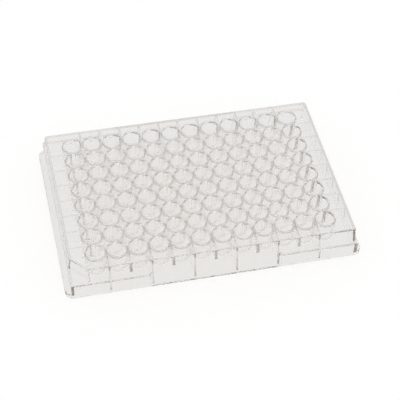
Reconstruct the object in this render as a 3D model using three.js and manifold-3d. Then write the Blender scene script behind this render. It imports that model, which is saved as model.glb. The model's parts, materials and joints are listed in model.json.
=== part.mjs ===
// A clear 96-well microplate, moulded in one piece and open underneath.
// Millimetres. X runs from column 1 to column 12, Y towards row A, Z up.
// The origin is the centre of the footprint, on the surface it stands on.

import * as THREE from 'three';
import { mergeVertices } from 'three/addons/utils/BufferGeometryUtils.js';
import Module from 'manifold-3d';

// Well pattern
const columns = 12;
const rows = 8;
const pitch = 9;
const endMargin = 14.38; // first column's centre to the end of the footprint
const sideMargin = 11.24; // first row's centre to the side of the footprint

// Wells
const boreTop = 6.9;
const boreFloor = 6.5;
const wellDepth = 10.9;
const floorThickness = 1.2;
const boreSides = 10;

// Rims, which stand on the deck as rings
const rimWall = 0.9;
const rimRise = 0.55;

// Tubes under the deck, which are fused to each other along their flats
const tubeSides = 8;
const tubeFuse = 0.2; // how far neighbouring tubes run into each other

// Heights
const plateHeight = 14.35;
const deckThickness = 1.3;
const shortFlangeHeight = 2.41; // along the short sides
const tallFlangeHeight = 7.62; // along the long sides

// Skirt
const wall = 1.2;
const endInset = 3.08; // footprint to the deck's edge, at the ends
const sideInset = 2.69; // footprint to the deck's edge, at the long sides
const endLean = 0.75; // how far an end wall leans out on its way down
const footprintRadius = 3.18;
const deckRadius = 1.2;
const innerRadius = 0.3; // of the skirt's corners, inside
const cornerCut = 7; // the cut corner next to the last row's first well
const gripLength = 54; // middle of each long side, without its tall flange
const arcSteps = 4; // straight steps in each rounded corner

// Ribs between the outer wells and the skirt
const longRib = 0.8;
const shortRib = 1.2;
const endRib = 0.8;
const longRibFoot = 1;
const shortRibFoot = 7.5;
const endRibFoot = 6;

// Sizes that follow from those above
const rowLength = (columns - 1) * pitch;
const columnLength = (rows - 1) * pitch;
const plateLength = rowLength + 2 * endMargin;
const plateWidth = columnLength + 2 * sideMargin;
const deckLength = plateLength - 2 * endInset;
const deckWidth = plateWidth - 2 * sideInset;
const deckHeight = plateHeight - rimRise;
const deckUnderside = deckHeight - deckThickness;
const tubeFoot = plateHeight - wellDepth - floorThickness;
const past = 1; // how far a cutting shape runs past what it cuts
const sameSpot = 1e-5; // points closer than this are one point

const wasm = await Module();
wasm.setup();

// Turns a closed three.js geometry into a solid
function solid(geometry) {
  geometry.deleteAttribute('normal');
  geometry.deleteAttribute('uv');
  const merged = mergeVertices(geometry, sameSpot);
  return new wasm.Manifold(new wasm.Mesh({
    numProp: 3,
    vertProperties: new Float32Array(merged.attributes.position.array),
    triVerts: new Uint32Array(merged.index.array),
  }));
}

function box(x0, x1, y0, y1, z0, z1) {
  const geometry = new THREE.BoxGeometry(x1 - x0, y1 - y0, z1 - z0);
  return solid(geometry.translate((x0 + x1) / 2, (y0 + y1) / 2, (z0 + z1) / 2));
}

// An upright cylinder or cone, with a flat side towards the next row
function post(x, y, z0, z1, radiusBelow, radiusAbove, sides) {
  const turn = Math.PI / sides;
  const geometry = new THREE.CylinderGeometry(
    radiusAbove, radiusBelow, z1 - z0, sides, 1, false, turn);
  return solid(geometry.rotateX(Math.PI / 2).translate(x, y, (z0 + z1) / 2));
}

// Rectangle with rounded corners, the first of which may be cut off straight
function plan(length, width, radius, cut = 0) {
  const x = length / 2;
  const y = width / 2;
  const quarter = Math.PI / 2;
  const shape = new THREE.Shape();
  if (cut > 0) {
    shape.moveTo(-x, cut - y);
    shape.lineTo(cut - x, -y);
  } else {
    shape.absarc(radius - x, radius - y, radius, 2 * quarter, 3 * quarter);
  }
  shape.absarc(x - radius, radius - y, radius, 3 * quarter, 4 * quarter);
  shape.absarc(x - radius, y - radius, radius, 0, quarter);
  shape.absarc(radius - x, y - radius, radius, quarter, 2 * quarter);
  shape.closePath();
  return shape;
}

// Upright prism on a plan, whose top may be another plan with as many points
function prism(below, z0, z1, above = below) {
  const geometry = new THREE.ExtrudeGeometry(
    below, { depth: z1 - z0, bevelEnabled: false, curveSegments: arcSteps });
  const from = below.extractPoints(arcSteps).shape;
  const to = above.extractPoints(arcSteps).shape;
  const position = geometry.attributes.position;
  for (let i = 0; i < position.count; i += 1) {
    if (position.getZ(i) > 0) {
      const point = new THREE.Vector2(position.getX(i), position.getY(i));
      const corner = from.findIndex((place) => place.distanceTo(point) < 10 * sameSpot);
      position.setXY(i, to[corner].x, to[corner].y);
    }
  }
  return solid(geometry.translate(0, 0, z0));
}

// Plan of the leaning skirt at a height, set in by a wall's thickness
function skirtPlan(height, inset, cut) {
  const down = 1 - height / deckHeight;
  const length = deckLength + 2 * endLean * down - 2 * inset;
  const width = deckWidth + 2 * sideInset * down - 2 * inset;
  const cutInside = cut > 0 ? cut - inset * (2 - Math.SQRT2) : 0;
  return plan(length, width, inset > 0 ? innerRadius : deckRadius, cutInside);
}

// The skirt's outer form, or with a wall's thickness the room inside it
function skirt(inset, top, step, foot) {
  const lower = prism(skirtPlan(foot, inset, 0), foot, step, skirtPlan(step, inset, 0));
  const upper = prism(
    skirtPlan(step, inset, cornerCut), step, top, skirtPlan(top, inset, cornerCut));
  return lower.add(upper);
}

// Flanges around the foot: low at the ends, tall along the sides but for the grips
function flanges(inset) {
  const footprint = plan(
    plateLength - 2 * inset, plateWidth - 2 * inset, footprintRadius - inset);
  const foot = inset > 0 ? -past : 0;
  const low = prism(footprint, foot, shortFlangeHeight - inset);
  const end = deckLength / 2 + endLean - inset;
  const grip = gripLength / 2 + inset;
  const side = plateWidth / 2 - inset;
  const top = tallFlangeHeight - inset;
  const left = box(-end, -grip, -side, side, foot, top);
  const right = box(grip, end, -side, side, foot, top);
  return low.add(left).add(right);
}

function wellCentres() {
  const centres = [];
  for (let row = 0; row < rows; row += 1) {
    for (let column = 0; column < columns; column += 1) {
      centres.push([column * pitch - rowLength / 2, columnLength / 2 - row * pitch]);
    }
  }
  return centres;
}

// Ribs from the outer wells to the skirt, one between each two wells
function ribs() {
  const made = [];
  const end = plateLength / 2;
  const side = plateWidth / 2;
  for (let gap = 1; gap < columns; gap += 1) {
    const x = (gap - 0.5) * pitch - rowLength / 2;
    const long = gap % 2 === 1;
    const half = (long ? longRib : shortRib) / 2;
    const foot = long ? longRibFoot : shortRibFoot;
    made.push(box(x - half, x + half, columnLength / 2, side, foot, deckHeight));
    made.push(box(x - half, x + half, -side, -columnLength / 2, foot, deckHeight));
  }
  for (let gap = 1; gap < rows; gap += 1) {
    const y = (gap - 0.5) * pitch - columnLength / 2;
    const half = endRib / 2;
    made.push(box(rowLength / 2, end, y - half, y + half, endRibFoot, deckHeight));
    made.push(box(-end, -rowLength / 2, y - half, y + half, endRibFoot, deckHeight));
  }
  return made;
}

function plate() {
  const centres = wellCentres();
  const tubeRadius = (pitch + tubeFuse) / 2 / Math.cos(Math.PI / tubeSides);
  const rimRadius = boreTop / 2 + rimWall;
  const wellFloor = plateHeight - wellDepth;
  const tubes = centres.map(([x, y]) => post(
    x, y, tubeFoot, deckHeight, tubeRadius, tubeRadius, tubeSides));
  const rims = centres.map(([x, y]) => post(
    x, y, deckUnderside, plateHeight, rimRadius, rimRadius, boreSides));
  const bores = centres.map(([x, y]) => post(
    x, y, wellFloor, plateHeight + past, boreFloor / 2, boreTop / 2, boreSides));
  const outside = skirt(0, deckHeight, tallFlangeHeight, 0).add(flanges(0));
  const room = skirt(wall, deckUnderside, tallFlangeHeight - wall, -past).add(flanges(wall));
  const filled = wasm.Manifold.union([...tubes, ...ribs()]);
  const shell = outside.subtract(room.subtract(filled));
  return wasm.Manifold.union([shell, ...rims]).subtract(wasm.Manifold.union(bores));
}

function mesh(name, body, material) {
  const made = body.getMesh();
  const geometry = new THREE.BufferGeometry();
  geometry.setAttribute('position', new THREE.BufferAttribute(made.vertProperties, 3));
  geometry.setIndex(new THREE.BufferAttribute(made.triVerts, 1));
  geometry.computeVertexNormals();
  const named = new THREE.Mesh(geometry, material);
  named.name = name;
  return named;
}

const clearPolystyrene = new THREE.MeshStandardMaterial({
  color: 0xe4e2de,
  roughness: 0.12,
  metalness: 0,
  transparent: true,
  opacity: 0.4,
});

const group = new THREE.Group();
group.name = 'microplate';
group.add(mesh('well_plate', plate(), clearPolystyrene));

export default group;
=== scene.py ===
import json
import math

import bmesh
import bpy
from mathutils import Matrix, Vector

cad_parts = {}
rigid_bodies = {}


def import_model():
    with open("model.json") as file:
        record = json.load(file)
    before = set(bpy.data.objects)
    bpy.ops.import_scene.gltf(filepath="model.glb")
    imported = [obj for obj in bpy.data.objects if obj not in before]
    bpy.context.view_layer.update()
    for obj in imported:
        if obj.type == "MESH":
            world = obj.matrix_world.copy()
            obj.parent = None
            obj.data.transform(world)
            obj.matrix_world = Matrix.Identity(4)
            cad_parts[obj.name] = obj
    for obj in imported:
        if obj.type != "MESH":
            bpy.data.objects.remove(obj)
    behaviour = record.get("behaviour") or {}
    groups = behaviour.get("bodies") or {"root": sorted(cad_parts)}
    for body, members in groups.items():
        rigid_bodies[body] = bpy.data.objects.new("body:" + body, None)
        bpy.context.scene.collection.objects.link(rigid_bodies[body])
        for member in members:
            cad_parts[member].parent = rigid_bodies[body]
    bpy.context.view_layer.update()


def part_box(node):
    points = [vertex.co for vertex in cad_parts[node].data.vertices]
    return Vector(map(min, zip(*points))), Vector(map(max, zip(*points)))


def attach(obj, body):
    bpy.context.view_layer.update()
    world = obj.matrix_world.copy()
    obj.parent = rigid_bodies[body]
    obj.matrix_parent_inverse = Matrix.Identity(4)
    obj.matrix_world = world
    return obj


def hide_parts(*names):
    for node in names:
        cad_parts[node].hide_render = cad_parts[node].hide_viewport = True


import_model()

mm = 0.001
footLow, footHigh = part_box("well_plate")
standsAt = footLow.z
plateTop = footHigh.z
footHalfX = (footHigh.x - footLow.x) / 2
footHalfY = (footHigh.y - footLow.y) / 2
print("frame loaded")


# small helpers for edit mode, modifiers and blocks

near = 0.01 * mm                # heights closer than this are the same
uprightShare = 0.8              # an edge is upright if it climbs this share of its length


def onlySelect(obj):
    bpy.ops.object.select_all(action="DESELECT")
    obj.select_set(True)
    bpy.context.view_layer.objects.active = obj


def startEdit(obj, pickBy="FACE"):
    onlySelect(obj)
    bpy.ops.object.mode_set(mode="EDIT")
    bpy.ops.mesh.select_mode(type=pickBy)
    bpy.ops.mesh.select_all(action="DESELECT")


def endEdit():
    bpy.ops.object.mode_set(mode="OBJECT")


def pick(obj, kind, test):                 # kind is "edges" or "faces"
    shape = bmesh.from_edit_mesh(obj.data)
    for item in getattr(shape, kind):
        if test(item):
            item.select_set(True)
    shape.select_flush_mode()
    bmesh.update_edit_mesh(obj.data)


def applyPlace(obj):
    onlySelect(obj)
    bpy.ops.object.transform_apply(location=True, rotation=True, scale=True)


def applyModifier(obj, modifier):
    onlySelect(obj)
    bpy.ops.object.modifier_apply(modifier=modifier.name)


def joinUp(target, tools, operation):      # tools is a list of objects, which are used up
    group = bpy.data.collections.new("tools")
    bpy.context.scene.collection.children.link(group)
    for tool in tools:
        for home in list(tool.users_collection):
            home.objects.unlink(tool)
        group.objects.link(tool)
    cut = target.modifiers.new("join", "BOOLEAN")
    cut.operation = operation
    cut.operand_type = "COLLECTION"
    cut.collection = group
    cut.solver = "MANIFOLD"
    applyModifier(target, cut)
    for tool in list(group.objects):
        bpy.data.objects.remove(tool)
    bpy.data.collections.remove(group)
    return target


def block(name, x0, x1, y0, y1, z0, z1):
    bpy.ops.object.select_all(action="DESELECT")
    bpy.ops.mesh.primitive_cube_add(size=1, location=((x0 + x1) / 2, (y0 + y1) / 2, (z0 + z1) / 2))
    made = bpy.context.object
    made.name = name
    made.scale = (x1 - x0, y1 - y0, z1 - z0)
    applyPlace(made)
    return made


def isUpright(edge):
    a, b = edge.verts
    return abs(a.co.z - b.co.z) > uprightShare * (a.co - b.co).length


def isAtHeight(item, z):
    return all(abs(corner.co.z - z) < near for corner in item.verts)


def bevelPicked(obj, test, width, steps):
    startEdit(obj, "EDGE")
    pick(obj, "edges", test)
    bpy.ops.mesh.bevel(offset_type="OFFSET", offset=width, segments=steps, affect="EDGES")
    endEdit()


def widenFoot(obj, z, factorX, factorY):      # lean the walls out below
    startEdit(obj)
    pick(obj, "faces", lambda face: isAtHeight(face, z))
    bpy.ops.transform.resize(value=(factorX, factorY, 1), center_override=(0, 0, z))
    endEdit()


# wells: one bore, one rim and one tube are shaped, and the rest are their copies

wells = {
    "columns": 12,
    "rows": 8,
    "pitch": 9 * mm,
    "mouth": 8.1 * mm,          # inside, at the top
    "floorWidth": 7.8 * mm,     # inside, where the round bottom starts
    "depth": 11.2 * mm,
    "mouthRounding": 0.15 * mm,
    "rimWidth": 8.7 * mm,
    "rimRise": 0.55 * mm,
    "rimRounding": 0.14 * mm,
    "rimSteps": 2,
    "tubeTop": 9.24 * mm,       # outside, under the deck
    "tubeFoot": 9.2 * mm,
    "floorThickness": 0.7 * mm,
    "deckFillet": 0.1 * mm,     # where a tube meets the deck
    "sides": 44,
    "domeSteps": 5,
    "domeReach": 0.96,          # share of the quarter round that the steps take
    "flareSteps": 2,
}
deckTop = plateTop - wells["rimRise"]
wellFloor = plateTop - wells["depth"]
tubeFootAt = wellFloor - wells["floorThickness"]
spare = 1 * mm                  # how far a cutting tool runs past what it cuts

deck = {
    "thickness": 1.1 * mm,
    "insetX": 3.08 * mm,
    "insetY": 2.69 * mm,
    "cornerCut": 7 * mm,
    "cornerRadius": 1.2 * mm,
    "edgeRounding": 0.22 * mm,
    "edgeSteps": 2,
}
skirt = {
    "wall": 1.2 * mm,
    "endLean": 0.75 * mm,       # how far each end leans out, from deck to foot
    "lowFlange": 2.41 * mm,     # height of the flange round the ends
    "tallFlange": 7.62 * mm,    # and along the sides
    "gripLength": 54 * mm,      # gap in the flanges, mid side
    "footCornerRadius": 3.18 * mm,
    "innerRadius": 0.3 * mm,    # least radius of an inside corner
    "edgeRounding": 0.2 * mm,
    "edgeSteps": 2,
    "cornerSteps": 5,
}
deckHalfX = footHalfX - deck["insetX"]
deckHalfY = footHalfY - deck["insetY"]


def wellSpots():
    for row in range(wells["rows"]):
        for column in range(wells["columns"]):
            yield ((column - (wells["columns"] - 1) / 2) * wells["pitch"],
                   ((wells["rows"] - 1) / 2 - row) * wells["pitch"])


def roundPost(name, z0, z1, widthBelow, widthAbove):
    bpy.ops.object.select_all(action="DESELECT")
    bpy.ops.mesh.primitive_cylinder_add(
        vertices=wells["sides"], radius=widthBelow / 2, depth=z1 - z0, location=(0, 0, (z0 + z1) / 2))
    made = bpy.context.object
    made.name = name
    applyPlace(made)
    startEdit(made)
    pick(made, "faces", lambda face: isAtHeight(face, z1))
    grow = widthAbove / widthBelow
    bpy.ops.transform.resize(value=(grow, grow, 1), center_override=(0, 0, z1))
    endEdit()
    return made


def flareUp(z, width, reach):          # carry the picked cap up and out along a quarter round
    now, at = width, 0
    for step in range(1, wells["flareSteps"] + 1):
        turn = math.pi / 2 * step / wells["flareSteps"]
        nextWidth = width + 2 * reach * (1 - math.cos(turn))
        nextAt = reach * math.sin(turn)
        bpy.ops.mesh.extrude_region_move(TRANSFORM_OT_translate={"value": (0, 0, nextAt - at)})
        grow = nextWidth / now
        bpy.ops.transform.resize(value=(grow, grow, 1), center_override=(0, 0, z + nextAt))
        now, at = nextWidth, nextAt


def domeBelow(z, width):               # give the picked cap a round bottom
    radius = width / 2
    now, at = radius, 0
    for step in range(1, wells["domeSteps"] + 1):
        turn = math.pi / 2 * min(step / wells["domeSteps"], wells["domeReach"])
        nextRadius = radius * math.cos(turn)
        nextAt = radius * math.sin(turn)
        bpy.ops.mesh.extrude_region_move(TRANSFORM_OT_translate={"value": (0, 0, at - nextAt)})
        grow = nextRadius / now
        bpy.ops.transform.resize(value=(grow, grow, 1), center_override=(0, 0, z - nextAt))
        now, at = nextRadius, nextAt


def makeBore():
    mouthStart = plateTop - wells["mouthRounding"]
    roundFrom = wellFloor + wells["floorWidth"] / 2
    bore = roundPost("bore", roundFrom, mouthStart, wells["floorWidth"], wells["mouth"])
    startEdit(bore)
    pick(bore, "faces", lambda face: isAtHeight(face, roundFrom))
    domeBelow(roundFrom, wells["floorWidth"])
    bpy.ops.mesh.select_all(action="DESELECT")
    pick(bore, "faces", lambda face: isAtHeight(face, mouthStart))
    flareUp(mouthStart, wells["mouth"], wells["mouthRounding"])
    bpy.ops.mesh.extrude_region_move(TRANSFORM_OT_translate={"value": (0, 0, spare)})
    endEdit()
    return bore


def makeRim():
    rimFoot = deckTop - deck["thickness"] / 2          # sunk half way into the deck
    rim = roundPost("rim", rimFoot, plateTop, wells["rimWidth"], wells["rimWidth"])
    bevelPicked(rim, lambda edge: isAtHeight(edge, plateTop), wells["rimRounding"], wells["rimSteps"])
    return rim


def makeTube():
    roundFrom = tubeFootAt + wells["tubeFoot"] / 2
    filletFrom = deckTop - deck["thickness"] - wells["deckFillet"]
    tube = roundPost("tube", roundFrom, filletFrom, wells["tubeFoot"], wells["tubeTop"])
    startEdit(tube)
    pick(tube, "faces", lambda face: isAtHeight(face, roundFrom))
    domeBelow(roundFrom, wells["tubeFoot"])
    bpy.ops.mesh.select_all(action="DESELECT")
    pick(tube, "faces", lambda face: isAtHeight(face, filletFrom))
    flareUp(filletFrom, wells["tubeTop"], wells["deckFillet"])
    intoDeck = (0, 0, deck["thickness"] / 2)
    bpy.ops.mesh.extrude_region_move(TRANSFORM_OT_translate={"value": intoDeck})
    endEdit()
    return tube


def copiesOf(piece, spots):            # each copy with its own mesh
    made = []
    for x, y in spots:
        twin = piece.copy()
        twin.data = piece.data.copy()
        twin.data.transform(Matrix.Translation((x, y, 0)))
        bpy.context.scene.collection.objects.link(twin)
        made.append(twin)
    bpy.data.objects.remove(piece)
    return made


# skirt, deck and flanges: with no inset they are the outside, and inset by the wall they are the room

def leaningBlock(name, inset, z0, z1):
    below = 1 - z0 / deckTop
    above = 1 - z1 / deckTop
    halfX = deckHalfX + skirt["endLean"] * above - inset
    halfY = deckHalfY + deck["insetY"] * above - inset
    footX = deckHalfX + skirt["endLean"] * below - inset
    footY = deckHalfY + deck["insetY"] * below - inset
    made = block(name, -halfX, halfX, -halfY, halfY, z0, z1)
    widenFoot(made, z0, footX / halfX, footY / halfY)
    radius = max(deck["cornerRadius"] - inset, skirt["innerRadius"])
    bevelPicked(made, isUpright, radius, skirt["cornerSteps"])
    return made


def cornerWedge(inset, z0, z1):        # what the cut takes off the skirt's near left corner
    cut = deck["cornerCut"] - inset * (2 - math.sqrt(2))       # the wall is as thick along the cut
    reach = cut + 2 * spare
    cornerX = -deckHalfX + inset
    cornerY = -deckHalfY + inset
    wedge = block("wedge", cornerX + cut - 2 * reach, cornerX + cut,
                  cornerY - reach, cornerY + reach, z0, z1)
    startEdit(wedge)
    bpy.ops.mesh.select_all(action="SELECT")
    bpy.ops.mesh.bisect(plane_co=(cornerX + cut, cornerY, z0), plane_no=(1, 1, 0),
                        clear_outer=True, use_fill=True)
    endEdit()
    return wedge


def makeSkirt():
    made = leaningBlock("skirt", 0, 0, deckTop)
    joinUp(made, [cornerWedge(0, skirt["tallFlange"], deckTop + spare)], "DIFFERENCE")
    bevelPicked(made, lambda edge: isAtHeight(edge, deckTop), deck["edgeRounding"], deck["edgeSteps"])
    return made


def makeRoom():                        # the hollow under the deck
    made = leaningBlock("room", skirt["wall"], -spare, deckTop - deck["thickness"])
    wedge = cornerWedge(skirt["wall"], skirt["tallFlange"] - skirt["wall"], deckTop + spare)
    joinUp(made, [wedge], "DIFFERENCE")
    return made


def makeFlanges(inset):
    isOutside = inset == 0
    foot = 0 if isOutside else -spare                  # the room is open below
    lowTop = skirt["lowFlange"] - inset
    tallTop = skirt["tallFlange"] - inset
    halfX = footHalfX - inset
    halfY = footHalfY - inset
    grip = skirt["gripLength"] / 2 + inset
    end = deckHalfX + skirt["endLean"] - inset
    made = []
    for side in (-1, 1):
        outer, inner = side * halfX, side * grip
        low = block("lowFlange", min(outer, inner), max(outer, inner), -halfY, halfY, foot, lowTop)
        bevelPicked(low, lambda edge: isUpright(edge) and abs(edge.verts[0].co.x) > grip + spare,
                    skirt["footCornerRadius"] - inset, skirt["cornerSteps"])
        outer = side * end
        tall = block("tallFlange", min(outer, inner), max(outer, inner), -halfY, halfY, foot, tallTop)
        if isOutside:
            bevelPicked(low, lambda edge: isAtHeight(edge, lowTop),
                        skirt["edgeRounding"], skirt["edgeSteps"])
            bevelPicked(tall, lambda edge: isUpright(edge) or isAtHeight(edge, tallTop),
                        skirt["edgeRounding"], skirt["edgeSteps"])
        made += [low, tall]
    return made


# ribs stand between the outer tubes and the skirt, long and short in turn along the sides

ribs = {
    "long": 0.8 * mm,           # thickness
    "short": 1.2 * mm,
    "end": 0.8 * mm,
    "longFoot": 1 * mm,         # how far above the floor each kind ends
    "shortFoot": 8.6 * mm,
    "endFoot": 6 * mm,
}


def makeRibs():
    rowEnd = (wells["columns"] - 1) / 2 * wells["pitch"]
    columnEnd = (wells["rows"] - 1) / 2 * wells["pitch"]
    top = deckTop - deck["thickness"] / 2
    made = []
    for gap in range(1, wells["columns"]):
        x = gap * wells["pitch"] - wells["pitch"] / 2 - rowEnd
        isLong = gap % 2 == 1
        half = ribs["long" if isLong else "short"] / 2
        foot = ribs["longFoot" if isLong else "shortFoot"]
        made.append(block("rib", x - half, x + half, columnEnd, footHalfY, foot, top))
        made.append(block("rib", x - half, x + half, -footHalfY, -columnEnd, foot, top))
    for gap in range(1, wells["rows"]):
        y = gap * wells["pitch"] - wells["pitch"] / 2 - columnEnd
        half = ribs["end"] / 2
        made.append(block("rib", rowEnd, footHalfX, y - half, y + half, ribs["endFoot"], top))
        made.append(block("rib", -footHalfX, -rowEnd, y - half, y + half, ribs["endFoot"], top))
    return made


def makePlate():
    outside = makeSkirt()
    joinUp(outside, makeFlanges(0), "UNION")
    print("outside of the skirt made")
    room = makeRoom()
    joinUp(room, makeFlanges(skirt["wall"]), "UNION")
    joinUp(room, copiesOf(makeTube(), wellSpots()) + makeRibs(), "DIFFERENCE")
    print("room under the deck made")
    joinUp(outside, [room], "DIFFERENCE")
    joinUp(outside, copiesOf(makeRim(), wellSpots()), "UNION")
    joinUp(outside, copiesOf(makeBore(), wellSpots()), "DIFFERENCE")
    print("wells cut")
    outside.name = "wellPlate"
    outside.data.name = "wellPlate"
    return outside


finish = {
    "smoothUpTo": math.radians(32),
    "levelFrom": 0.9999,        # a face whose normal rises or falls by this much is level
    "flatFrom": 8 * mm * mm,    # larger faces are shaded flat
    "wellMargin": 0.05 * mm,    # how far past the pitch squares a well's faces may reach
}


def isWellWall(face):                  # below the rounding of the rims
    x, y, z = face.calc_center_median()
    reachX = wells["columns"] / 2 * wells["pitch"] + finish["wellMargin"]
    reachY = wells["rows"] / 2 * wells["pitch"] + finish["wellMargin"]
    return abs(x) < reachX and abs(y) < reachY and z < deckTop + wells["rimRise"] / 2


def isFlat(face):
    isLevel = abs(face.normal.z) > finish["levelFrom"]
    return isLevel or face.calc_area() > finish["flatFrom"] or isWellWall(face)


def finishMesh(made):                  # rounded edges and rims smooth, the rest flat
    onlySelect(made)
    bpy.ops.object.shade_smooth_by_angle(angle=finish["smoothUpTo"])
    startEdit(made)
    pick(made, "faces", isFlat)
    bpy.ops.mesh.faces_shade_flat()
    endEdit()


plate = makePlate()
finishMesh(plate)
print("plate made")

plastic = {
    "ior": 1.59,
    "roughness": 0.004,
    "haze": 0.007,                     # share of each surface that scatters like frost
    "hazeColour": (0.8, 0.79, 0.78),
    "cloudiness": 0.003,               # how much that share varies, in faint clouds
    "cloudSize": (140, 140, 140),      # spots to the metre, along x, y and z
    "cloudDetail": 4,
    "flowSize": (60, 260, 260),        # flow marks from moulding, drawn out along the plate
    "flowDetail": 2,
    "flowDepth": 0.004 * mm,
    "bodyColour": (0.9, 0.894, 0.884),
    "density": 120,                    # how strongly the rest of each colour is absorbed, to the metre
    "tintOfShade": (1, 0.996, 0.99),   # what each surface leaves of the floor's light
}


def noiseOn(tree, scale, detail):      # fixed to the piece
    place = tree.nodes.new("ShaderNodeTexCoord")
    stretch = tree.nodes.new("ShaderNodeMapping")
    stretch.inputs["Scale"].default_value = scale
    noise = tree.nodes.new("ShaderNodeTexNoise")
    noise.inputs["Scale"].default_value = 1
    noise.inputs["Detail"].default_value = detail
    tree.links.new(place.outputs["Object"], stretch.inputs["Vector"])
    tree.links.new(stretch.outputs["Vector"], noise.inputs["Vector"])
    return noise.outputs["Fac"]


def makeHaze(tree):                    # frost that scatters back and through alike
    matt = tree.nodes.new("ShaderNodeBsdfDiffuse")
    matt.inputs["Color"].default_value = (*plastic["hazeColour"], 1)
    lit = tree.nodes.new("ShaderNodeBsdfTranslucent")
    lit.inputs["Color"].default_value = (*plastic["hazeColour"], 1)
    haze = tree.nodes.new("ShaderNodeMixShader")
    tree.links.new(matt.outputs[0], haze.inputs[1])
    tree.links.new(lit.outputs[0], haze.inputs[2])
    return haze.outputs[0]


def clearPolystyrene():
    made = bpy.data.materials.new("clearPolystyrene")
    made.use_nodes = True
    tree = made.node_tree
    clear = tree.nodes["Principled BSDF"]
    clear.inputs["Base Color"].default_value = (1, 1, 1, 1)
    clear.inputs["Transmission Weight"].default_value = 1
    clear.inputs["IOR"].default_value = plastic["ior"]
    clear.inputs["Roughness"].default_value = plastic["roughness"]
    marks = tree.nodes.new("ShaderNodeBump")
    marks.inputs["Distance"].default_value = plastic["flowDepth"]
    flow = noiseOn(tree, plastic["flowSize"], plastic["flowDetail"])
    tree.links.new(flow, marks.inputs["Height"])
    tree.links.new(marks.outputs["Normal"], clear.inputs["Normal"])
    clouds = tree.nodes.new("ShaderNodeMapRange")
    clouds.inputs["To Min"].default_value = plastic["haze"] - plastic["cloudiness"]
    clouds.inputs["To Max"].default_value = plastic["haze"] + plastic["cloudiness"]
    cloud = noiseOn(tree, plastic["cloudSize"], plastic["cloudDetail"])
    tree.links.new(cloud, clouds.inputs["Value"])
    clouded = tree.nodes.new("ShaderNodeMixShader")
    tree.links.new(clouds.outputs[0], clouded.inputs[0])
    tree.links.new(clear.outputs[0], clouded.inputs[1])
    tree.links.new(makeHaze(tree), clouded.inputs[2])
    rays = tree.nodes.new("ShaderNodeLightPath")          # the floor's light goes straight through
    floorRays = tree.nodes.new("ShaderNodeMath")
    floorRays.operation = "MAXIMUM"
    tree.links.new(rays.outputs["Is Shadow Ray"], floorRays.inputs[0])
    tree.links.new(rays.outputs["Is Diffuse Ray"], floorRays.inputs[1])
    through = tree.nodes.new("ShaderNodeBsdfTransparent")
    through.inputs["Color"].default_value = (*plastic["tintOfShade"], 1)
    mix = tree.nodes.new("ShaderNodeMixShader")
    tree.links.new(floorRays.outputs[0], mix.inputs[0])
    tree.links.new(clouded.outputs[0], mix.inputs[1])
    tree.links.new(through.outputs[0], mix.inputs[2])
    tree.links.new(mix.outputs[0], tree.nodes["Material Output"].inputs["Surface"])
    body = tree.nodes.new("ShaderNodeVolumeAbsorption")
    body.inputs["Color"].default_value = (*plastic["bodyColour"], 1)
    body.inputs["Density"].default_value = plastic["density"]
    tree.links.new(body.outputs[0], tree.nodes["Material Output"].inputs["Volume"])
    return made


plate.data.materials.clear()
plate.data.materials.append(clearPolystyrene())
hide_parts("well_plate")
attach(plate, "root")
print("material set")


studio = {
    "floorSize": 6,
    "floorGap": 0.2 * mm,       # keeps the floor clear of the plate's foot
    "floorWhite": 0.95,
    "worldLight": 0.85,
    "floorInGlass": 0.24,       # how much of the lift to white glass and gloss see, of the floor
    "skyInGlass": 0.1,          # and of the sky
    "bounces": 128,             # enough for a look through many walls
}


def whiteFor(tree, share):             # 1 to the camera, a share to glass and gloss, 0 to the rest
    rays = tree.nodes.new("ShaderNodeLightPath")
    bent = tree.nodes.new("ShaderNodeMath")
    bent.operation = "MAXIMUM"
    tree.links.new(rays.outputs["Is Glossy Ray"], bent.inputs[0])
    tree.links.new(rays.outputs["Is Transmission Ray"], bent.inputs[1])
    part = tree.nodes.new("ShaderNodeMath")
    part.operation = "MULTIPLY"
    part.inputs[1].default_value = share
    tree.links.new(bent.outputs[0], part.inputs[0])
    both = tree.nodes.new("ShaderNodeMath")
    both.operation = "MAXIMUM"
    tree.links.new(part.outputs[0], both.inputs[0])
    tree.links.new(rays.outputs["Is Camera Ray"], both.inputs[1])
    return both.outputs[0]


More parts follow.
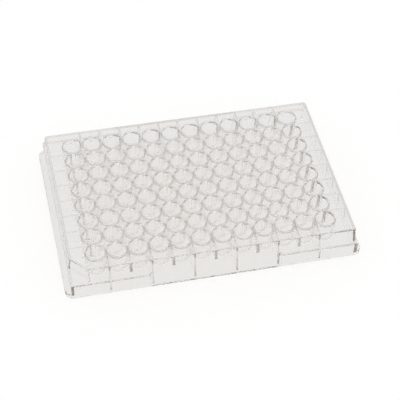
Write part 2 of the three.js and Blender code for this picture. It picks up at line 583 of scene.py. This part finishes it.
def makeFloor():                       # white to the camera, and darker only by the plate's shadow
    bpy.ops.object.select_all(action="DESELECT")
    bpy.ops.mesh.primitive_plane_add(
        size=studio["floorSize"], location=(0, 0, standsAt - studio["floorGap"]))
    floor = bpy.context.object
    floor.name = "floor"
    paint = bpy.data.materials.new("whiteSweep")
    paint.use_nodes = True
    tree = paint.node_tree
    matt = tree.nodes["Principled BSDF"]
    white = studio["floorWhite"]
    matt.inputs["Base Color"].default_value = (white, white, white, 1)
    matt.inputs["Roughness"].default_value = 1
    matt.inputs["Specular IOR Level"].default_value = 0
    matt.inputs["Emission Color"].default_value = (1, 1, 1, 1)
    lift = tree.nodes.new("ShaderNodeMath")
    lift.operation = "MULTIPLY"
    lift.inputs[1].default_value = 1 - studio["floorWhite"] * studio["worldLight"]
    tree.links.new(whiteFor(tree, studio["floorInGlass"]), lift.inputs[0])
    tree.links.new(lift.outputs[0], matt.inputs["Emission Strength"])
    floor.data.materials.append(paint)


def makeWorld():                       # one even light from all round
    world = bpy.data.worlds.new("studio")
    bpy.context.scene.world = world
    world.use_nodes = True
    tree = world.node_tree
    light = tree.nodes["Background"]
    light.inputs["Color"].default_value = (1, 1, 1, 1)
    level = tree.nodes.new("ShaderNodeMapRange")
    level.inputs["To Min"].default_value = studio["worldLight"]
    level.inputs["To Max"].default_value = 1
    tree.links.new(whiteFor(tree, studio["skyInGlass"]), level.inputs["Value"])
    tree.links.new(level.outputs[0], light.inputs["Strength"])


view = {
    "azimuth": -14.456,
    "elevation": 47.505,
    "roll": 2.568,
    "distance": 558.72 * mm,
    "aim": (0.98 * mm, -4.984 * mm, 7 * mm),
    "lens": 114.98,             # millimetres, as the sensor is
    "sensor": 36,
    "nearest": 10 * mm,
}


def makeCamera():
    turn = (Matrix.Rotation(math.radians(view["azimuth"]), 3, "Z")
            @ Matrix.Rotation(math.radians(90 - view["elevation"]), 3, "X")
            @ Matrix.Rotation(math.radians(view["roll"]), 3, "Z"))
    place = Vector(view["aim"]) + turn @ Vector((0, 0, view["distance"]))
    bpy.ops.object.camera_add(location=place, rotation=turn.to_euler())
    camera = bpy.context.object
    camera.data.lens = view["lens"]
    camera.data.sensor_width = view["sensor"]
    camera.data.clip_start = view["nearest"]
    bpy.context.scene.camera = camera


makeFloor()
makeWorld()
makeCamera()
bpy.context.scene.view_settings.view_transform = "Standard"
paths = bpy.context.scene.cycles
paths.max_bounces = studio["bounces"]
paths.transmission_bounces = studio["bounces"]
paths.glossy_bounces = studio["bounces"]
paths.transparent_max_bounces = studio["bounces"]
print("stage set")
